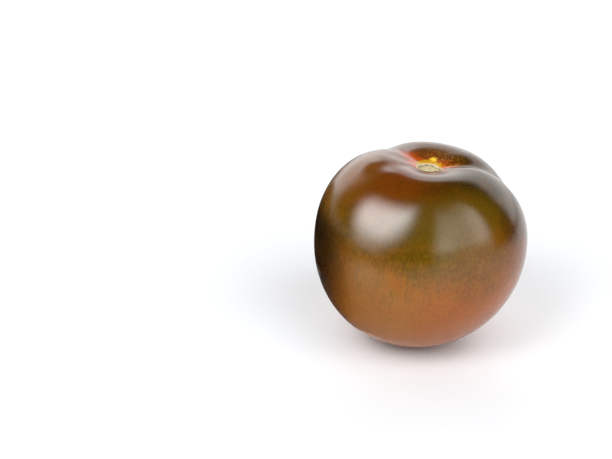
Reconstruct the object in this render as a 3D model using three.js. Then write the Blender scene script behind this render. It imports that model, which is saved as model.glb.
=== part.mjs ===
// A black tomato, as picked, standing on its blossom end.
// Millimetres, +Z up, +Y away from the viewer. The origin is the middle of the flat spot it rests on.
//
// The fruit is one solid. A profile is revolved round the Z axis, and every vertex is then moved by a formula:
// three lobes swell the shoulders, three grooves part them, the corky scar of the stem rises in the dimple,
// and the whole fruit leans a little, as one that stands on a slightly lopsided end does.

import * as THREE from "three";

// Driving dimensions
const RADIUS = 30; // half the widest measure
const DEPTH_BELOW = 29.97; // from the widest level to the blossom end, before the flat spot is cut off
const HEIGHT_ABOVE = 27.57; // from the widest level to the crown, before the lobes are raised
const ROUNDNESS_BELOW = 2.05; // exponent of the outline: 2 is an ellipse, more is squarer
const ROUNDNESS_ABOVE = 2.085;
const TAPER = 0.015; // share by which the upper half is fuller and the lower half slimmer
const FLAT_ANGLE = THREE.MathUtils.degToRad(11.5); // the flat spot's reach, seen from the fruit's middle

// The dimple that the stem grew from
const DIMPLE_DEPTH = 5.38;
const DIMPLE_WIDTH = 11.9;

// Shoulders: each lobe has a height, the way it faces and the angle over which it fades
const LOBE_RING = { radius: 22, width: 12.9 };
const LOBES = [
  { rise: 1.43, facing: 1.41, spread: 0.96 },
  { rise: 2.21, facing: 3.33, spread: 0.65 },
  { rise: 0.75, facing: -1, spread: 0.7 },
];
const GROOVE_RING = { radius: 20.8, width: 12.8 };
const GROOVE_SPREAD = 0.265;
const GROOVES = [
  { depth: 2.4, facing: 0.24 },
  { depth: 1.01, facing: 2.23 },
  { depth: 0.58, facing: -2.71 },
];

// How far the cross-section is from round, as a share of the radius
const OVAL = { share: 0.012, facing: 2.38 };
const THREE_SIDED = { share: 0.01, facing: 0.95 };

// How far the axis leans, in millimetres across for each millimetre up
const LEAN_X = 0.073;
const LEAN_Y = 0.003;

// The stem's scar: a corky disc with a raised rim, a ring of strands inside it and a star in the middle
const SCAR_RADIUS = 3.7;
const SCAR_RISE = 0.25;
const SCAR_RIM = { radius: 3.45, width: 0.4, rise: 0.3 };
const SCAR_CHANNEL = { radius: 2.75, width: 0.4, depth: 0.35, strands: 11 };
const SCAR_STAR = { radius: 1.3, width: 0.8, rise: 0.3, rays: 6 };
const SCAR_PIT = { width: 0.45, depth: 0.5 };

// Mesh fineness
const SEGMENTS = 90;
const BODY_RINGS = 28;
const SHOULDER_RINGS = 11;
const SCAR_RINGS = 11;
const SHOULDER_ANGLE = THREE.MathUtils.degToRad(150);
const SCAR_ANGLE = THREE.MathUtils.degToRad(171.5);

const { lerp } = THREE.MathUtils;

// A smooth bump that is 1 where the offset is zero and fades over the width.
function bell(offset, width) {
  return Math.exp(-((offset / width) ** 2));
}

// The turn from one direction to another, between -pi and pi.
function turn(angle, facing) {
  return THREE.MathUtils.euclideanModulo(angle - facing + Math.PI, 2 * Math.PI) - Math.PI;
}

// Distance from the axis and height over the widest level, at an angle from the blossom end.
function outline(angle) {
  const up = -Math.cos(angle);
  const out = Math.sin(angle);
  const above = 0.5 + 0.5 * Math.tanh(up / 0.55);
  const power = lerp(ROUNDNESS_BELOW, ROUNDNESS_ABOVE, above);
  const reach = (out ** power + Math.abs(up) ** power) ** (-1 / power);
  const radius = RADIUS * reach * out * (1 + TAPER * (up - up ** 3));
  const height = lerp(DEPTH_BELOW, HEIGHT_ABOVE, above) * reach * up;
  const dimple = up > 0 ? DIMPLE_DEPTH * bell(radius, DIMPLE_WIDTH) : 0;
  return { radius, height: height - dimple };
}

const WIDEST_LEVEL = -outline(FLAT_ANGLE).height;

// The angles of the rings, closer together over the scar.
function ringAngles() {
  const angles = [];
  for (let i = 0; i < BODY_RINGS; i++) {
    angles.push(lerp(FLAT_ANGLE, SHOULDER_ANGLE, i / BODY_RINGS));
  }
  for (let i = 0; i < SHOULDER_RINGS; i++) {
    angles.push(lerp(SHOULDER_ANGLE, SCAR_ANGLE, i / SHOULDER_RINGS));
  }
  for (let i = 0; i < SCAR_RINGS; i++) {
    angles.push(lerp(SCAR_ANGLE, Math.PI, i / SCAR_RINGS));
  }
  return angles;
}

// The profile to revolve, from the middle of the flat spot to the middle of the scar.
function profile() {
  const points = [new THREE.Vector2(0, 0)];
  for (const angle of ringAngles()) {
    const { radius, height } = outline(angle);
    points.push(new THREE.Vector2(radius, height + WIDEST_LEVEL));
  }
  points.push(new THREE.Vector2(0, outline(Math.PI).height + WIDEST_LEVEL));
  return points;
}

// How far the shoulders stand over the plain profile.
function shoulderRise(radius, facing) {
  const swell = LOBES.reduce((sum, l) => sum + l.rise * bell(turn(facing, l.facing), l.spread), 0);
  const crease = GROOVES.reduce((sum, g) => sum + g.depth * bell(turn(facing, g.facing), GROOVE_SPREAD), 0);
  const lobes = swell * bell(radius - LOBE_RING.radius, LOBE_RING.width);
  return lobes - crease * bell(radius - GROOVE_RING.radius, GROOVE_RING.width);
}

// How far the stem's scar stands over the floor of the dimple.
function scarRise(radius, facing) {
  if (radius > SCAR_RADIUS + 2 * SCAR_RIM.width) return 0;
  const disc = SCAR_RISE * (0.5 - 0.5 * Math.tanh((radius - SCAR_RADIUS) / 0.2));
  const rim = SCAR_RIM.rise * bell(radius - SCAR_RIM.radius, SCAR_RIM.width);
  const strands = 0.6 + 0.4 * Math.cos(SCAR_CHANNEL.strands * facing);
  const channel = SCAR_CHANNEL.depth * strands * bell(radius - SCAR_CHANNEL.radius, SCAR_CHANNEL.width);
  const rays = 0.5 + 0.5 * Math.cos(SCAR_STAR.rays * facing);
  const star = SCAR_STAR.rise * rays * bell(radius - SCAR_STAR.radius, SCAR_STAR.width);
  const pit = SCAR_PIT.depth * bell(radius, SCAR_PIT.width);
  return disc + rim - channel + star - pit;
}

// Moves one vertex of the revolved body to its place on the fruit.
function shapeVertex(vertex) {
  const radius = Math.hypot(vertex.x, vertex.y);
  const facing = Math.atan2(vertex.y, vertex.x);
  const crown = 0.5 + 0.5 * Math.tanh((vertex.z - WIDEST_LEVEL) / 5.5);
  const height = vertex.z + crown * (shoulderRise(radius, facing) + scarRise(radius, facing));
  const oval = OVAL.share * Math.cos(2 * (facing - OVAL.facing));
  const threeSided = THREE_SIDED.share * Math.cos(3 * (facing - THREE_SIDED.facing));
  const x = vertex.x * (1 + oval + threeSided);
  const y = vertex.y * (1 + oval + threeSided);
  const tip = height / (WIDEST_LEVEL + HEIGHT_ABOVE);
  return vertex.set(x + LEAN_X * height, y + LEAN_Y * height, height - tip * (LEAN_X * x + LEAN_Y * y));
}

function fruitGeometry() {
  const geometry = new THREE.LatheGeometry(profile(), SEGMENTS);
  geometry.rotateX(Math.PI / 2);
  const positions = geometry.getAttribute("position");
  const vertex = new THREE.Vector3();
  for (let i = 0; i < positions.count; i++) {
    shapeVertex(vertex.fromBufferAttribute(positions, i));
    positions.setXYZ(i, vertex.x, vertex.y, vertex.z);
  }
  geometry.computeVertexNormals();
  return geometry;
}

const skin = new THREE.MeshStandardMaterial({ color: 0x5a3d12, roughness: 0.25, metalness: 0 });
const tomato = new THREE.Mesh(fruitGeometry(), skin);
tomato.name = "tomato";

const fruit = new THREE.Group();
fruit.add(tomato);

export default fruit;
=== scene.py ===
import math

import bmesh
import bpy
import numpy as np
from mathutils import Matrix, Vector


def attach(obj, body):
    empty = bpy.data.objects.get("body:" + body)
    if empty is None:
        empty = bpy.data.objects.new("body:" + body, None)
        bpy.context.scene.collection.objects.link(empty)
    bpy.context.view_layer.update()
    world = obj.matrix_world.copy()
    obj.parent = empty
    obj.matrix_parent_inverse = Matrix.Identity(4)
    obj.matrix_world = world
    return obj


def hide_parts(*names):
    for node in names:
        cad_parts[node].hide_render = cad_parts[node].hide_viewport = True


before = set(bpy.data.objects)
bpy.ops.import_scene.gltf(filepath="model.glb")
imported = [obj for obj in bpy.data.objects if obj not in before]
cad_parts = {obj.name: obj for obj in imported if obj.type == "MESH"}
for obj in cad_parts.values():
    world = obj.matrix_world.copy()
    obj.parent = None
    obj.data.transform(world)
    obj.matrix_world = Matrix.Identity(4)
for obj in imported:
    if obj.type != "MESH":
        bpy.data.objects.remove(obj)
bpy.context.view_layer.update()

MM = 0.001

# The fruit, in millimetres and radians: the solid's own values
RADIUS = 30.0
DEPTH_BELOW = 29.97
HEIGHT_ABOVE = 27.57
ROUNDNESS_BELOW = 2.05
ROUNDNESS_ABOVE = 2.085
TAPER = 0.015
FLAT_ANGLE = math.radians(11.5)
DIMPLE_DEPTH = 5.38
DIMPLE_WIDTH = 11.9
CROWN_FADE = 5.5  # over how many millimetres the shoulders' forms set in above the widest level
LOBE_RING = (22.0, 12.9)  # radius and width
LOBES = [(1.43, 1.41, 0.96), (2.21, 3.33, 0.65), (0.75, -1.0, 0.7)]  # rise, facing and spread
GROOVE_RING = (20.8, 12.8)  # radius and width
GROOVE_SPREAD = 0.265
GROOVES = [(2.4, 0.24), (1.01, 2.23), (0.58, -2.71)]  # depth and facing
OVAL = (0.012, 2.38)  # share of the radius, and facing
THREE_SIDED = (0.01, 0.95)
LEAN_X = 0.073  # millimetres across for each millimetre up
LEAN_Y = 0.003

# The stem's scar, finer than on the solid
SCAR_RADIUS = 3.7
SCAR_SHIFT = 0.9  # its middle lies this far towards the viewer
SCAR_SQUASH = 0.93  # its depth as a share of its width
SCAR_WOBBLE = [(0.12, 3, 0.6), (0.08, 5, 2.1), (0.05, 9, 0.0)]  # size, waves round and phase
SCAR_FORMS_REACH = 3.5  # how far past its edge anything of it goes
SCAR_RAYS = 6  # of the star in its middle
SCAR_STRANDS = 11  # across the ring of dark gaps
SCAR_RING_INSET = 0.95  # from the edge to the ring of dark gaps
SCAR_RIM_INSET = 0.3
SCAR_PIT = (0.35, 0.25)
TONGUE = {"facing": 0.17, "radius": 5.1, "length": 1.2, "width": 0.42}

# The blossom's scar, and the dish round it
BLOSSOM_DOT = 1.1  # radius
BLOSSOM_DISH = 3.0
FLAT_REACH = 9.0  # the flat spot and the skin that settles on the table next to it
SETTLING = 0.22  # how softly the skin curves into the flat spot

# Mesh fineness
SEGMENTS = 360
BODY_RINGS = 130
SHOULDER_RINGS = 55
SCAR_RINGS = 52
SHOULDER_ANGLE = math.radians(150)
SCAR_ANGLE = math.radians(170.5)
POLE_GAP = (0.02, 0.002)  # angles left to the caps under the fruit and in the scar

# Colours of the skin, as screen values
RIPENING = [  # from the blossom end at 0 to the shoulders at 1
    (0.0, (160, 88, 26)),
    (0.2, (154, 84, 16)),
    (0.45, (142, 82, 8)),
    (0.6, (122, 76, 5)),
    (0.74, (104, 70, 4)),
    (0.86, (94, 62, 3)),
    (0.95, (88, 52, 2)),
    (1.0, (80, 44, 3)),
]
SIDES = [  # sides that ripened differently: direction, reach in degrees, share and colour
    ((-0.3, -0.8, 0.5), 29, 0.9, (80, 52, 3)),
    ((-0.42, -0.36, 0.85), 34, 0.8, (108, 48, 2)),
    ((0.6, -0.3, 0.75), 50, 1.0, (50, 34, 1)),
    ((0.86, -0.45, 0.25), 28, 0.9, (70, 42, 3)),
    ((0.35, -0.8, 0.45), 32, 0.5, (118, 90, 8)),
    ((0.02, -0.9, 0.38), 30, 0.7, (80, 64, 5)),
    ((-0.78, 0.0, 0.62), 34, 0.6, (124, 78, 12)),
    ((-0.5, -0.8, -0.35), 38, 0.5, (142, 94, 12)),
    ((0.75, -0.6, -0.35), 60, 0.6, (156, 72, 12)),
    ((0.5, -0.85, 0.1), 24, 0.6, (92, 62, 6)),
    ((0.76, -0.48, 0.42), 15, 0.6, (46, 32, 1)),
    ((0.1, 0.95, 0.2), 66, 0.6, (96, 64, 4)),
]
GREEN_STREAK = (84, 72, 4)
GOLD_FLECK = (160, 114, 16)
DARK_FLECK = (70, 40, 2)
RED_HALO = (104, 48, 6)
ORANGE_HALO = (208, 80, 16)
GROOVE_LINE = (214, 108, 50)
# The colour of the painted shade on the left flank
FLANK_PAINTED_SHADE = (27, 12, 1)
GOLDEN_SPECK = (204, 158, 48)
YELLOW = (206, 160, 22)
BRIGHT_YELLOW = (234, 200, 60)
CORK_DARK, CORK_PALE = (170, 150, 98), (214, 200, 158)
CORK_GAP = (52, 36, 10)
BLOSSOM_BROWN = (104, 74, 42)

# Where the halo's colours reach out along the creases: reach and facing
HALO_CREASES = [(0.3, 0.22), (1.2, 2.35), (0.7, -2.6)]
HALO_CREASE_SPREAD = 0.34

# The studio. Panels are convex outlines of directions from the fruit: (azimuth, elevation, softness) in degrees.
FRUIT_MIDDLE = Vector((0, 0, 28 * MM))
LIT_PANELS = [  # name, radiance, upward and outline
    ("softbox_left", 6.1, 1.0, [(-60, 21, 22), (-20, 21, 22), (-20, 63, 22), (-60, 59, 22)]),
    ("softbox_right", 3.1, 1.0, [(6, 15, 12), (74, 12, 12), (74, 64, 12), (6, 70, 12)]),
    ("softbox_behind", 2.4, 1.3, [(-232, 0, 8), (-116, 0, 8), (-116, 40, 8), (-232, 38, 8)]),
]
LIT_DISTANCE = 0.9
MIRRORED_PANELS = [  # name, distance, radiance, upward and outline; those that overlap need distances that differ
    ("softbox_left_gloss", 0.9, 12.2, 1.0, [
        (-83, 13.5, 34), (-47, 13.5, 28), (-25.5, 50, 24), (-27, 65, 38), (-50, 65, 34), (-92, 43, 25),
    ]),
    ("softbox_right_gloss", 0.9, 2.2, 1.0, [(4, 11, 14), (75, 11, 14), (83, 60, 34), (10, 60, 16)]),
    ("softbox_right_near_gloss", 0.87, 0.8, 1.0, [(5, 10, 10), (27, 10, 12), (27, 30, 14), (7, 30, 10)]),
    ("softbox_right_far_gloss", 0.84, 1.2, 1.0, [(54, 9, 14), (75, 9, 12), (80, 50, 20), (56, 50, 18)]),
    ("softbox_behind_left_gloss", 0.9, 0.4, 9.0, [
        (-172, -2, 10), (-148, -2, 10), (-120, 16, 10), (-121, 36, 12), (-136, 45.5, 5),
        (-160, 44.5, 6), (-176, 43.5, 8), (-188, 36, 16),
    ]),
    ("softbox_behind_right_gloss", 0.87, 0.45, 3.4, [
        (-242, -2, 8), (-176, -2, 16), (-188, 34, 10), (-222, 37, 12), (-242, 27, 12),
    ]),
]
PANEL_STEP = 3  # degrees between a panel's vertices
PANEL_TOP = 84  # no panel goes higher, in degrees
FLAG_BALLS = [  # name, place and radius in millimetres, and the slants at which it is clear and solid
    ("flag_left", (-66, -9, 26), 31, 0.6, 1.0),
    ("flag_between", (-63, 36, 23), 30, 0.25, 0.7),
    ("flag_behind", (-42, 72, 18), 36, 0.5, 0.9),
]
FLAG_BALL_AIM = Vector((0, 0, 27))
FLAG_BALL_CUT = 0.1  # the slant at which the back of each ball is cut away
FLOOR_FLAG_REACH = (17, 1100)  # inner and outer radius in millimetres
FLOOR_FLAG_MESH = (120, 44)  # vertices round and outward
FLOOR_FLAG_LEVEL = 0.3
FLOOR_RADIUS = 2.5
FLOOR_SIDES = 96
FLOOR_LEVEL = -0.05 * MM

# The photo's camera
PICTURE = (612, 459)
FOCAL_PX = 1938.3
SEEN_AT = (413.4, 245.7)  # the pixel where the fruit's middle is seen
CAMERA_DISTANCE = 550 * MM
CAMERA_ELEVATION = math.radians(23.5)
SENSOR_WIDTH = 36


def bell(offset, width):
    """1 where the offset is zero, fading over the width."""
    return np.exp(-((offset / width) ** 2))


def smooth(offset, width):
    """Goes smoothly from 0 to 1 where the offset passes zero."""
    return 0.5 + 0.5 * np.tanh(offset / width)


def share(value, start, end):
    """Goes evenly from 0 to 1 as the value goes from start to end."""
    return np.clip((value - start) / (end - start), 0, 1)


def turn(angle, facing):
    """The turn from one direction to another, between -pi and pi."""
    return (angle - facing + math.pi) % (2 * math.pi) - math.pi


def outline(angle):
    """Distance from the axis and height over the widest level, at an angle from the blossom end."""
    up, out = -np.cos(angle), np.sin(angle)
    above = smooth(up, 0.55)
    power = ROUNDNESS_BELOW + (ROUNDNESS_ABOVE - ROUNDNESS_BELOW) * above
    reach = (out**power + np.abs(up) ** power) ** (-1 / power)
    radius = RADIUS * reach * out * (1 + TAPER * (up - up**3))
    height = (DEPTH_BELOW + (HEIGHT_ABOVE - DEPTH_BELOW) * above) * reach * up
    return radius, height - np.where(up > 0, DIMPLE_DEPTH * bell(radius, DIMPLE_WIDTH), 0)


WIDEST_LEVEL = -float(outline(FLAT_ANGLE)[1])


def shoulder_rise(radius, facing):
    """How far the shoulders stand over the plain profile."""
    swell = sum(rise * bell(turn(facing, at), spread) for rise, at, spread in LOBES)
    crease = sum(depth * bell(turn(facing, at), GROOVE_SPREAD) for depth, at in GROOVES)
    lobe_radius, lobe_width = LOBE_RING
    groove_radius, groove_width = GROOVE_RING
    lobes = swell * bell(radius - lobe_radius, lobe_width)
    return lobes - crease * bell(radius - groove_radius, groove_width)


def scar_forms(radius, facing):
    """The stem's scar: how far it rises, and how much of each point is cork and how much is a dark gap."""
    x, y = radius * np.cos(facing), (radius * np.sin(facing) + SCAR_SHIFT) / SCAR_SQUASH
    radius, facing = np.hypot(x, y), np.arctan2(y, x)
    edge = SCAR_RADIUS + sum(size * np.cos(waves * facing + phase) for size, waves, phase in SCAR_WOBBLE)

    # The disc, with a short ragged tongue at one side and a raised rim
    along = bell(radius - TONGUE["radius"], TONGUE["length"])
    across = bell(radius * turn(facing, TONGUE["facing"]), TONGUE["width"] + 0.14 * np.sin(5 * radius))
    cork = np.maximum(smooth(edge - radius, 0.16), np.clip(1.25 * along * across, 0, 1))
    rim = bell(radius - (edge - SCAR_RIM_INSET), 0.34)

    # The ring of dark gaps between the strands
    uneven = 0.5 * np.cos(4 * facing)
    strands = smooth(2.2 * np.cos(SCAR_STRANDS * facing + 0.9 * np.sin(2 * facing + 1)) + uneven, 1)
    ring = edge - SCAR_RING_INSET + 0.12 * np.cos(4 * facing)
    channel = bell(radius - ring, 0.28) * (0.25 + 0.75 * strands)

    # The star in the middle, the gaps between its rays and the pit
    rays = (0.5 + 0.5 * np.cos(SCAR_RAYS * facing + 0.5 * np.sin(facing))) ** 1.5
    star = bell(radius - 1.15, 0.75) * rays
    gaps = bell(radius - 1.75, 0.42) * (1 - rays) ** 2 * (0.6 + 0.4 * np.cos(2 * facing + 1.2))
    pit = bell(np.hypot(radius * np.cos(facing) - SCAR_PIT[0], radius * np.sin(facing) - SCAR_PIT[1]), 0.26)

    rise = 0.24 * rim + 0.28 * star - 0.42 * channel - 0.3 * gaps - 0.5 * pit
    dark = np.clip(1.4 * channel + 0.75 * gaps + 1.3 * pit, 0, 1)
    return rise, cork, dark


def blossom_end(radius, facing):
    """The blossom's scar, a small dry dot in a shallow dish: its rise and how dry each point is."""
    edge = BLOSSOM_DOT + 0.15 * np.cos(3 * facing)
    dry = smooth(edge - radius, 0.2)
    return 0.35 * bell(radius, BLOSSOM_DISH) - 0.12 * dry, dry


def fruit_points(angle, facing):
    """Places of the skin's points, in millimetres, with what the skin's colours are laid out by."""
    radius, height = outline(angle)
    level = height + WIDEST_LEVEL

    # The crown: shoulders and the stem's scar
    rise, cork, dark = scar_forms(radius, facing)
    near_scar = (angle > math.pi / 2) & (radius < SCAR_RADIUS + SCAR_FORMS_REACH)
    cork, dark = np.where(near_scar, cork, 0), np.where(near_scar, dark, 0)
    crown = smooth(level - WIDEST_LEVEL, CROWN_FADE)
    level = level + crown * (shoulder_rise(radius, facing) + np.where(near_scar, rise, 0))

    # The blossom end: the skin curves softly into the flat spot, and a dish lies in its middle
    under, dry = blossom_end(radius, facing)
    below = angle < math.pi / 2
    settled = SETTLING * np.log1p(np.exp(level / SETTLING))
    settled = settled - SETTLING * math.log(2) * bell(radius, FLAT_REACH)
    settled = settled + np.where(radius < FLAT_REACH, under, 0)
    level = np.maximum(np.where(below, settled, level), 0)

    oval = OVAL[0] * np.cos(2 * (facing - OVAL[1]))
    three_sided = THREE_SIDED[0] * np.cos(3 * (facing - THREE_SIDED[1]))
    girth = 1 + oval + three_sided
    x, y = radius * girth * np.cos(facing), radius * girth * np.sin(facing)
    tip = level / (WIDEST_LEVEL + HEIGHT_ABOVE)
    points = np.stack([x + LEAN_X * level, y + LEAN_Y * level, level - tip * (LEAN_X * x + LEAN_Y * y)], -1)
    return points, cork, dark, np.where(below, dry, 0), radius


def ring_angles():
    """The angles of the rings from the blossom end, closer together over the shoulders and the scar."""
    body = np.linspace(POLE_GAP[0], SHOULDER_ANGLE, BODY_RINGS, endpoint=False)
    shoulder = np.linspace(SHOULDER_ANGLE, SCAR_ANGLE, SHOULDER_RINGS, endpoint=False)
    scar = np.linspace(SCAR_ANGLE, math.pi - POLE_GAP[1], SCAR_RINGS)
    return np.concatenate([body, shoulder, scar])


def skin_faces(rings):
    """Quads between the rings, and triangles to the middle of the blossom end and of the scar."""
    here = np.arange(SEGMENTS)
    after = (here + 1) % SEGMENTS
    start = np.arange(rings - 1)[:, None] * SEGMENTS
    quads = np.stack([start + here, start + after, start + SEGMENTS + after, start + SEGMENTS + here], -1)
    bottom, top = rings * SEGMENTS, rings * SEGMENTS + 1
    last = (rings - 1) * SEGMENTS
    faces = quads.reshape(-1, 4).tolist()
    faces += [(bottom, int(b), int(a)) for a, b in zip(here, after)]
    faces += [(top, last + int(a), last + int(b)) for a, b in zip(here, after)]
    return faces


def add_skin():
    angles = ring_angles()[:, None]
    facings = np.linspace(0, 2 * math.pi, SEGMENTS, endpoint=False)[None, :]
    angle, facing = np.broadcast_arrays(angles, facings)
    points, cork, dark, dry, radius = fruit_points(angle, facing)
    caps = [points[:1].mean((0, 1))[None], points[-1:].mean((0, 1))[None]]
    vertices = np.concatenate([points.reshape(-1, 3), *caps])
    faces = skin_faces(len(angles))

    # Under the fruit everything is far from the stem's scar
    from_scar = np.where(angle > math.pi / 2, radius, 2 * RADIUS - radius)
    crease = sum(reach * bell(turn(facing, at), HALO_CREASE_SPREAD) for reach, at in HALO_CREASES)
    sphere = np.stack([np.sin(angle) * np.cos(facing), np.sin(angle) * np.sin(facing), -np.cos(angle)], -1)

    mesh = bpy.data.meshes.new("tomato_skin")
    mesh.from_pydata((vertices * MM).tolist(), [], faces)
    for name, values in (
        ("cork", cork),
        ("gap", dark),
        ("blossom", dry),
        ("from_scar", from_scar),
        ("crease", crease),
    ):
        middles = [values[0].mean(), values[-1].mean()]
        layer = mesh.attributes.new(name, "FLOAT", "POINT")
        layer.data.foreach_set("value", np.concatenate([values.ravel(), middles]).astype(np.float32))
    middles = [[0, 0, -1], [0, 0, 1]]
    layer = mesh.attributes.new("sphere", "FLOAT_VECTOR", "POINT")
    layer.data.foreach_set("vector", np.concatenate([sphere.reshape(-1, 3), middles]).astype(np.float32).ravel())

    mesh.polygons.foreach_set("use_smooth", [True] * len(mesh.polygons))
    corky = np.concatenate([np.maximum(cork, dry).ravel(), [dry[0, 0], cork[-1, 0]]]) > 0.5
    mesh.polygons.foreach_set("material_index", [int(all(corky[v] for v in face)) for face in faces])
    mesh.update()
    skin = bpy.data.objects.new("tomato_skin", mesh)
    bpy.context.scene.collection.objects.link(skin)
    return skin


def linear(red, green, blue):
    """A colour given as 0 to 255 screen values, as the shader takes it."""
    def channel(v):
        v /= 255
        return v / 12.92 if v <= 0.04045 else ((v + 0.055) / 1.055) ** 2.4
    return (channel(red), channel(green), channel(blue), 1)


class Nodes:
    """Short calls for building a node tree."""

    def __init__(self, tree):
        self.tree = tree

    def add(self, kind, **settings):
        node = self.tree.nodes.new(kind)
        for key, value in settings.items():
            setattr(node, key, value)
        return node

    def put(self, value, socket):
        if isinstance(value, bpy.types.NodeSocket):
            self.tree.links.new(value, socket)
        else:
            socket.default_value = value

    def attribute(self, name, output="Fac"):
        return self.add("ShaderNodeAttribute", attribute_name=name).outputs[output]

    def math(self, operation, *values):
        node = self.add("ShaderNodeMath", operation=operation)
        for value, socket in zip(values, node.inputs):
            self.put(value, socket)
        return node.outputs[0]

    def plus(self, first, *others):
        for other in others:
            first = self.math("ADD", first, other)
        return first

    def times(self, first, *others):
        for other in others:
            first = self.math("MULTIPLY", first, other)
        return first

    def swing(self, noise, size):
        """A noise that swings round zero."""
        return self.times(self.math("SUBTRACT", noise, 0.5), size)

    def dot(self, a, b):
        node = self.add("ShaderNodeVectorMath", operation="DOT_PRODUCT")
        self.put(a, node.inputs[0])
        self.put(b, node.inputs[1])
        return node.outputs["Value"]

    def stretch(self, vector, factors):
        node = self.add("ShaderNodeVectorMath", operation="MULTIPLY")
        self.put(vector, node.inputs[0])
        self.put(factors, node.inputs[1])
        return node.outputs["Vector"]

    def parts(self, vector):
        node = self.add("ShaderNodeSeparateXYZ")
        self.put(vector, node.inputs[0])
        return node.outputs["X"], node.outputs["Y"], node.outputs["Z"]

    def fade(self, value, start, end, low=0.0, high=1.0):
        """Goes smoothly from low to high as the value goes from start to end, and stays there beyond."""
        node = self.add("ShaderNodeMapRange", interpolation_type="SMOOTHSTEP")
        self.put(value, node.inputs["Value"])
        self.put(start, node.inputs["From Min"])
        self.put(end, node.inputs["From Max"])
        self.put(low, node.inputs["To Min"])
        self.put(high, node.inputs["To Max"])
        return node.outputs["Result"]

    def noise(self, vector, scale, detail, roughness=0.5):
        node = self.add("ShaderNodeTexNoise")
        self.put(vector, node.inputs["Vector"])
        node.inputs["Scale"].default_value = scale
        node.inputs["Detail"].default_value = detail
        node.inputs["Roughness"].default_value = roughness
        return node.outputs["Fac"]

    def dots(self, vector, scale):
        """Distance to the nearest of many scattered dots, and a random number for each dot."""
        node = self.add("ShaderNodeTexVoronoi", feature="F1")
        self.put(vector, node.inputs["Vector"])
        node.inputs["Scale"].default_value = scale
        split = self.add("ShaderNodeSeparateColor")
        self.put(node.outputs["Color"], split.inputs[0])
        return node.outputs["Distance"], split.outputs[0]

    def mix(self, amount, a, b):
        """The colour a, with the amount of b laid over it."""
        node = self.add("ShaderNodeMix", data_type="RGBA")
        sockets = [s for s in node.inputs if s.enabled]
        for value, socket in zip((amount, a, b), sockets):
            self.put(value, socket)
        return next(s for s in node.outputs if s.enabled)

    def ramp(self, value, stops):
        node = self.add("ShaderNodeValToRGB")
        self.put(value, node.inputs["Fac"])
        elements = node.color_ramp.elements
        while len(elements) < len(stops):
            elements.new(0.5)
        for element, (position, colour) in zip(elements, stops):
            element.position = position
            element.color = linear(*colour)
        node.color_ramp.interpolation = "EASE"
        return node.outputs["Color"]

    def patch(self, sphere, direction, start, end):
        """1 round a direction from the fruit's middle, fading to 0: start and end are degrees away from it."""
        facing = self.dot(sphere, Vector(direction).normalized())
        return self.fade(facing, math.cos(math.radians(end)), math.cos(math.radians(start)))

    def bump(self, height, strength, depth, shader):
        node = self.add("ShaderNodeBump")
        node.inputs["Strength"].default_value = strength
        node.inputs["Distance"].default_value = depth
        self.put(height, node.inputs["Height"])
        self.put(node.outputs["Normal"], shader.inputs["Normal"])


def new_material(name):
    material = bpy.data.materials.new(name)
    material.use_nodes = True
    material.node_tree.nodes.clear()
    nodes = Nodes(material.node_tree)
    shader = nodes.add("ShaderNodeBsdfPrincipled")
    output = nodes.add("ShaderNodeOutputMaterial")
    nodes.put(shader.outputs["BSDF"], output.inputs["Surface"])
    return material, nodes, shader


class SkinPlace:
    """Where a point of the skin lies, and the noises there: sockets that the layers of colour share."""

    def __init__(self, nodes):
        self.sphere = nodes.attribute("sphere", "Vector")
        self.from_scar = nodes.attribute("from_scar")
        self.crease = nodes.attribute("crease")
        self.x, self.y, self.level = nodes.parts(self.sphere)
        self.cloud = nodes.noise(self.sphere, 2.2, detail=4, roughness=0.55)
        self.blotch = nodes.noise(self.sphere, 6, detail=5, roughness=0.6)
        self.fleck = nodes.fade(nodes.noise(self.sphere, 60, detail=3, roughness=0.6), 0.42, 0.6)

        # Drawn out along the meridians
        self.streak = nodes.noise(nodes.stretch(self.sphere, (1, 1, 0.22)), 24, detail=5, roughness=0.65)
        self.mottle = nodes.noise(nodes.stretch(self.sphere, (1, 1, 0.5)), 46, detail=4, roughness=0.7)


def ripening(nodes, at):
    """Olive brown at the shoulders and red brown below, with a ragged border and sides that differ."""
    ripe = nodes.plus(
        at.level,
        nodes.swing(at.cloud, 0.8),
        nodes.swing(at.streak, 0.5),
        nodes.swing(at.blotch, 0.35),
    )
    colour = nodes.ramp(nodes.fade(ripe, -1.0, 1.0), RIPENING)
    blotchy = nodes.fade(at.blotch, 0.3, 0.62, 0.45, 1.0)
    for direction, reach, strength, tint in SIDES:
        side = nodes.times(nodes.patch(at.sphere, direction, 6, reach), blotchy, strength)
        colour = nodes.mix(side, colour, linear(*tint))
    return colour


def mottling(nodes, at, colour):
    """Green streaks round the flanks, and golden and dark flecks that grow calmer at the shoulders."""
    flanks = nodes.fade(nodes.math("ABSOLUTE", nodes.math("SUBTRACT", at.level, 0.1)), 0.75, 0.1)
    green = nodes.times(nodes.fade(at.streak, 0.5, 0.68), flanks, 0.3)
    colour = nodes.mix(green, colour, linear(*GREEN_STREAK))
    calm = nodes.fade(at.level, 0.2, 0.5, 1.0, 0.45)
    gold = nodes.times(nodes.fade(at.mottle, 0.46, 0.75, 0, 0.3), calm)
    colour = nodes.mix(gold, colour, linear(*GOLD_FLECK))
    dark = nodes.times(nodes.fade(at.mottle, 0.52, 0.3, 0, 0.35), calm)
    return nodes.mix(dark, colour, linear(*DARK_FLECK))


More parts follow.
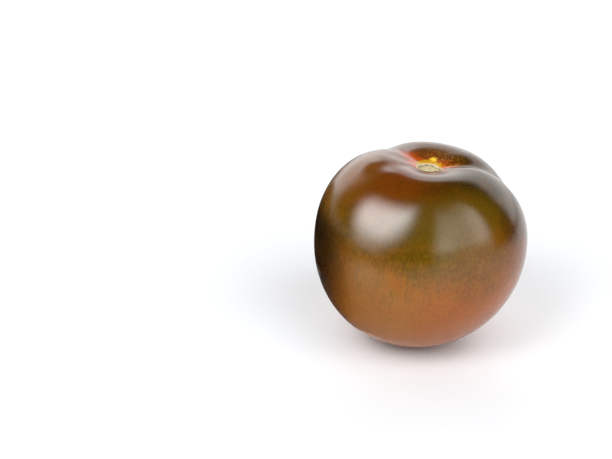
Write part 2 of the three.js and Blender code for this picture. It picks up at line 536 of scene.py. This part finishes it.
def halo(nodes, at, colour):
    """Red brown all round the scar and orange behind it: both reach furthest along the creases."""
    along_crease = nodes.times(at.crease, nodes.fade(at.from_scar, 4, 9, 0, 4.5))
    reach = nodes.math("SUBTRACT", at.from_scar, along_crease)
    ragged = nodes.plus(reach, nodes.swing(at.blotch, 7), nodes.swing(at.mottle, 8))
    colour = nodes.mix(nodes.fade(ragged, 11, 5.5, 0, 0.75), colour, linear(*RED_HALO))
    behind = nodes.fade(at.y, -0.12, -0.02)
    orange = nodes.times(nodes.fade(ragged, 7.0, 3.6, 0, 0.9), behind, nodes.fade(at.fleck, 0, 1, 0.45, 1))
    return nodes.mix(orange, colour, linear(*ORANGE_HALO))


def groove_line(nodes, at, colour):
    """A thin orange line along the bottom of the right-hand groove."""
    across = nodes.math("ABSOLUTE", nodes.dot(at.sphere, (0.22, -0.975, 0)))
    line = nodes.times(
        nodes.fade(across, 0.045, 0.01),
        nodes.fade(at.from_scar, 10.5, 7.0, 0, 0.7),
        nodes.fade(at.x, 0, 0.1),
        nodes.fade(at.fleck, 0, 1, 0.35, 1),
    )
    return nodes.mix(line, colour, linear(*GROOVE_LINE))


def flank_painted_shade(nodes, at, colour):
    """Painted shade on the left flank, darkening it up to the shoulder."""
    flank = nodes.patch(at.sphere, (-1.0, -0.06, -0.05), 12, 50)
    flank = nodes.times(flank, nodes.fade(at.level, 0.46, 0.2, 0, 0.92))
    return nodes.mix(flank, colour, linear(*FLANK_PAINTED_SHADE))


def speckles(nodes, at, colour):
    """Golden speckles round the stem, most of them at the far right."""
    distance, chance = nodes.dots(at.sphere, 70)
    speck = nodes.times(
        nodes.fade(distance, 0.45, 0.2),
        nodes.fade(chance, 0.25, 0.6),
        nodes.fade(at.from_scar, 14, 6, 0, 0.85),
        nodes.fade(at.x, -0.06, 0.08, 0.25, 1),
        nodes.fade(at.y, -0.2, 0.0, 0.25, 1),
    )
    return nodes.mix(speck, colour, linear(*GOLDEN_SPECK))


def yellow_edge(nodes, at, colour):
    """Yellow flecks along the far edge of the scar, with one bright spot."""
    far_side = nodes.fade(at.y, -0.02, 0.13, -0.6, 0.5)
    ragged = nodes.plus(nodes.swing(at.blotch, 2), nodes.swing(at.mottle, 3))
    away = nodes.plus(nodes.math("SUBTRACT", at.from_scar, far_side), ragged)
    yellow = nodes.times(nodes.fade(away, 4.3, 3.7), nodes.fade(at.fleck, 0, 1, 0.55, 1))
    colour = nodes.mix(yellow, colour, linear(*YELLOW))
    bright = nodes.plus(nodes.patch(at.sphere, (1.5, 4.8, 29.6), 0, 3.0), nodes.swing(at.mottle, 2.4))
    return nodes.mix(nodes.fade(bright, 0.5, 0.9), colour, linear(*BRIGHT_YELLOW))


def skin_material():
    material, nodes, shader = new_material("tomato_skin")
    at = SkinPlace(nodes)
    colour = ripening(nodes, at)
    # One of these layers paints shade on the left flank
    for layer in (mottling, halo, groove_line, flank_painted_shade, speckles, yellow_edge):
        colour = layer(nodes, at, colour)
    nodes.put(colour, shader.inputs["Base Color"])

    shader.inputs["Roughness"].default_value = 0.14
    shader.inputs["IOR"].default_value = 1.5
    shader.inputs["Subsurface Weight"].default_value = 0.12
    shader.inputs["Subsurface Radius"].default_value = (1.0, 0.35, 0.12)
    shader.inputs["Subsurface Scale"].default_value = 2 * MM
    nodes.bump(nodes.noise(at.sphere, 90, detail=3), 0.5, 0.02 * MM, shader)
    return material


def cork_material():
    """Dry cork, on the stem's scar and on the dot that the blossom left."""
    material, nodes, shader = new_material("dry_cork")
    grain = nodes.noise(nodes.attribute("sphere", "Vector"), 260, detail=4, roughness=0.7)
    colour = nodes.mix(nodes.fade(grain, 0.3, 0.7), linear(*CORK_DARK), linear(*CORK_PALE))
    colour = nodes.mix(nodes.attribute("gap"), colour, linear(*CORK_GAP))
    colour = nodes.mix(nodes.attribute("blossom"), colour, linear(*BLOSSOM_BROWN))
    nodes.put(colour, shader.inputs["Base Color"])
    shader.inputs["Roughness"].default_value = 0.75
    nodes.bump(grain, 0.6, 0.2 * MM, shader)
    return material


def toward(azimuth, elevation, distance):
    """A place round the fruit: azimuth 0 is the viewer's side and 90 the viewer's right."""
    a, e = math.radians(azimuth), math.radians(elevation)
    direction = Vector((math.sin(a) * math.cos(e), -math.cos(a) * math.cos(e), math.sin(e)))
    return FRUIT_MIDDLE + direction * distance


def soft_shape(azimuth, elevation, edges):
    """1 inside a convex outline of directions, fading to 0 across its edges.

    Each corner holds the softness of the edge that starts there.
    """
    inside = np.ones_like(azimuth)
    for (x, y, softness), (next_x, next_y, _) in zip(edges, edges[1:] + edges[:1]):
        across, up = next_x - x, next_y - y
        depth = (across * (elevation - y) - up * (azimuth - x)) / math.hypot(across, up)
        lit = np.clip(0.5 + depth / softness, 0, 1)
        inside = inside * lit * lit * (3 - 2 * lit)
    return inside


def softbox_material():
    """Glows as much as the mesh says and lets through what is behind it."""
    material = bpy.data.materials.new("softbox")
    material.use_nodes = True
    material.node_tree.nodes.clear()
    nodes = Nodes(material.node_tree)
    emission = nodes.add("ShaderNodeEmission")
    nodes.put(nodes.attribute("glow"), emission.inputs["Strength"])
    both = nodes.add("ShaderNodeAddShader")
    nodes.put(emission.outputs[0], both.inputs[0])
    nodes.put(nodes.add("ShaderNodeBsdfTransparent").outputs[0], both.inputs[1])
    output = nodes.add("ShaderNodeOutputMaterial")
    nodes.put(both.outputs[0], output.inputs["Surface"])
    return material


def add_stage_mesh(name, vertices, faces, attribute, values, material):
    """A piece of studio equipment whose material reads one value at each vertex."""
    mesh = bpy.data.meshes.new(name)
    mesh.from_pydata(vertices, [], faces)
    layer = mesh.attributes.new(attribute, "FLOAT", "POINT")
    layer.data.foreach_set("value", np.asarray(values, np.float32))
    mesh.materials.append(material)
    piece = bpy.data.objects.new(name, mesh)
    bpy.context.scene.collection.objects.link(piece)
    return piece


def add_softbox(name, material, distance, radiance, upward, edges, only_mirrored):
    """A glowing panel, bent round the fruit. It lights, or else it is only mirrored. The camera doesn't see it.

    Its glow fades across the edges, and grows by the factor upward from its lower to its upper side.
    """
    columns, rows, softness = np.array(edges, float).T
    margin = softness.max() / 2
    azimuth = np.arange(columns.min() - margin, columns.max() + margin + PANEL_STEP, PANEL_STEP)
    top = min(rows.max() + margin, PANEL_TOP)
    elevation = np.arange(rows.min() - margin, top + PANEL_STEP, PANEL_STEP)
    azimuth, elevation = np.meshgrid(azimuth, elevation)
    height = share(elevation, rows.min(), rows.max())
    glow = radiance * (1 + (upward - 1) * height) * soft_shape(azimuth, elevation, edges)
    vertices = [toward(a, e, distance) for a, e in zip(azimuth.ravel(), elevation.ravel())]
    down, along = azimuth.shape
    faces = []
    for j in range(down - 1):
        for i in range(along - 1):
            if glow[j:j + 2, i:i + 2].max() > 0:
                first = j * along + i
                faces.append((first, first + along, first + along + 1, first + 1))
    panel = add_stage_mesh(name, vertices, faces, "glow", glow.ravel(), material)
    panel.visible_camera = panel.visible_shadow = panel.visible_transmission = False
    panel.visible_diffuse = not only_mirrored
    panel.visible_glossy = only_mirrored


def add_softboxes():
    material = softbox_material()
    for name, radiance, upward, edges in LIT_PANELS:
        add_softbox(name, material, LIT_DISTANCE, radiance, upward, edges, only_mirrored=False)
    for name, distance, radiance, upward, edges in MIRRORED_PANELS:
        add_softbox(name, material, distance, radiance, upward, edges, only_mirrored=True)


def flag_material():
    """Black where the mesh's cover is 1 and clear where it is 0."""
    material, nodes, shader = new_material("black_flag")
    shader.inputs["Base Color"].default_value = (0.01, 0.01, 0.01, 1)
    shader.inputs["Roughness"].default_value = 1
    cover = nodes.add("ShaderNodeMixShader")
    nodes.put(nodes.attribute("cover"), cover.inputs[0])
    nodes.put(nodes.add("ShaderNodeBsdfTransparent").outputs[0], cover.inputs[1])
    nodes.put(shader.outputs[0], cover.inputs[2])
    output = next(n for n in nodes.tree.nodes if n.type == "OUTPUT_MATERIAL")
    nodes.put(cover.outputs[0], output.inputs["Surface"])
    return material


def add_flag(name, vertices, faces, covers, material):
    """A dark studio flag that only mirrored rays meet."""
    flag = add_stage_mesh(name, vertices, faces, "cover", covers, material)
    flag.visible_camera = flag.visible_diffuse = flag.visible_shadow = False


def add_flag_ball(name, place, radius, clear, solid, material):
    """Half of a ball, facing the fruit, which grows clear towards its rim."""
    ball = bmesh.new()
    bmesh.ops.create_icosphere(ball, subdivisions=5, radius=radius * MM)
    toward_fruit = (FLAG_BALL_AIM - Vector(place)).normalized()
    away = [v for v in ball.verts if v.co.normalized().dot(toward_fruit) < FLAG_BALL_CUT]
    bmesh.ops.delete(ball, geom=away, context="VERTS")
    ball.verts.index_update()
    slants = np.array([v.co.normalized().dot(toward_fruit) for v in ball.verts])
    vertices = [v.co + Vector(place) * MM for v in ball.verts]
    faces = [[v.index for v in face.verts] for face in ball.faces]
    ball.free()
    add_flag(name, vertices, faces, share(slants, clear, solid), material)


def floor_covers(x, y):
    """How dark the floor's flag is at each place, in millimetres: painted shadow on the table, which only the
    skin's reflections show.

    It is darkest in front of the fruit from its middle to its left, with a fainter strip that comes nearer,
    round two places to its left and behind it, and far off at its right.
    """
    away = np.hypot(x, y)
    azimuth = np.degrees(np.arctan2(x, -y))
    front = 0.8 * share(away, 85, 195) * share(azimuth, 12, -18) * share(azimuth, -125, -105)
    near = 0.4 * bell(azimuth + 28, 17) * share(away, 45, 75)
    left = 1.25 * bell(np.hypot(x + 43, y - 8), 38)
    behind = 0.95 * bell(np.hypot(x + 30, y - 55), 46)
    right = 0.9 * share(away, 250, 450) * bell(azimuth - 104, 24)
    return np.clip(np.maximum.reduce([front, near, left, behind, right]), 0, 1)


def add_flag_floor(material):
    """A ring on the table whose vertices lie closer together near the fruit."""
    around, out = FLOOR_FLAG_MESH
    inner, outer = FLOOR_FLAG_REACH
    angle = np.linspace(0, 2 * math.pi, around, endpoint=False)
    radius = inner * (outer / inner) ** (np.arange(out) / (out - 1))
    x, y = np.outer(radius, np.cos(angle)), np.outer(radius, np.sin(angle))
    vertices = np.stack([x, y, np.full_like(x, FLOOR_FLAG_LEVEL)], -1).reshape(-1, 3) * MM
    faces = []
    for i in range(out - 1):
        for j in range(around):
            here, after = i * around + j, i * around + (j + 1) % around
            faces.append((here, after, after + around, here + around))
    add_flag("flag_floor", vertices.tolist(), faces, floor_covers(x, y).ravel(), material)


def add_flags():
    """Dark flags where the skin should mirror something dark: at its left, behind it and on the table in front."""
    material = flag_material()
    for name, place, radius, clear, solid in FLAG_BALLS:
        add_flag_ball(name, place, radius, clear, solid, material)
    add_flag_floor(material)


def add_world():
    """White to the camera, white low behind the fruit, and nearly black elsewhere for the skin to mirror."""
    world = bpy.data.worlds.new("studio")
    bpy.context.scene.world = world
    world.use_nodes = True
    world.node_tree.nodes.clear()
    nodes = Nodes(world.node_tree)
    x, y, z = nodes.parts(nodes.add("ShaderNodeTexCoord").outputs["Generated"])
    darkest = 0.02
    behind = nodes.times(nodes.fade(y, 0.38, 0.62), nodes.fade(z, 0.5, 0.1, 0.03, 1.0))
    front_right = nodes.times(nodes.fade(x, 0.0, 0.16), nodes.fade(z, 0.2, 0.05), nodes.fade(y, -0.08, -0.26))
    far_left = nodes.times(nodes.fade(x, -0.7, -0.85), nodes.fade(z, 0.16, 0.06))
    seen = nodes.add("ShaderNodeLightPath").outputs["Is Camera Ray"]
    strength = darkest
    for part in (behind, front_right, far_left, seen):
        strength = nodes.math("MAXIMUM", part, strength)
    background = nodes.add("ShaderNodeBackground")
    background.inputs["Color"].default_value = (1, 1, 1, 1)
    nodes.put(strength, background.inputs["Strength"])
    output = nodes.add("ShaderNodeOutputWorld")
    nodes.put(background.outputs[0], output.inputs["Surface"])


def add_floor():
    mesh = bpy.data.meshes.new("floor")
    turns = [2 * math.pi * i / FLOOR_SIDES for i in range(FLOOR_SIDES)]
    ring = [(FLOOR_RADIUS * math.cos(turned), FLOOR_RADIUS * math.sin(turned), 0) for turned in turns]
    mesh.from_pydata(ring, [], [tuple(range(FLOOR_SIDES))])
    floor = bpy.data.objects.new("floor", mesh)
    floor.location.z = FLOOR_LEVEL
    bpy.context.scene.collection.objects.link(floor)
    material, _, shader = new_material("white_table")
    shader.inputs["Base Color"].default_value = (0.84, 0.86, 0.885, 1)
    shader.inputs["Roughness"].default_value = 0.12
    shader.inputs["IOR"].default_value = 1.12
    mesh.materials.append(material)


def add_camera():
    """The photo's camera, with the fruit right of the picture's middle."""
    width, height = PICTURE
    data = bpy.data.cameras.new("camera")
    data.sensor_width = SENSOR_WIDTH
    data.lens = FOCAL_PX / width * SENSOR_WIDTH
    camera = bpy.data.objects.new("camera", data)
    bpy.context.scene.collection.objects.link(camera)
    right = Vector((1, 0, 0))
    up = Vector((0, math.sin(CAMERA_ELEVATION), math.cos(CAMERA_ELEVATION)))
    ahead = Vector((0, math.cos(CAMERA_ELEVATION), -math.sin(CAMERA_ELEVATION)))
    across = (SEEN_AT[0] - width / 2) / FOCAL_PX * CAMERA_DISTANCE
    above = (height / 2 - SEEN_AT[1]) / FOCAL_PX * CAMERA_DISTANCE
    camera.location = FRUIT_MIDDLE - right * across - up * above - ahead * CAMERA_DISTANCE
    camera.rotation_euler = (math.pi / 2 - CAMERA_ELEVATION, 0, 0)
    bpy.context.scene.camera = camera


skin = add_skin()
skin.data.materials.append(skin_material())
skin.data.materials.append(cork_material())
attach(skin, "root")
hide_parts("tomato")

add_world()
add_floor()
add_softboxes()
add_flags()
add_camera()
bpy.context.scene.view_settings.view_transform = "Standard"
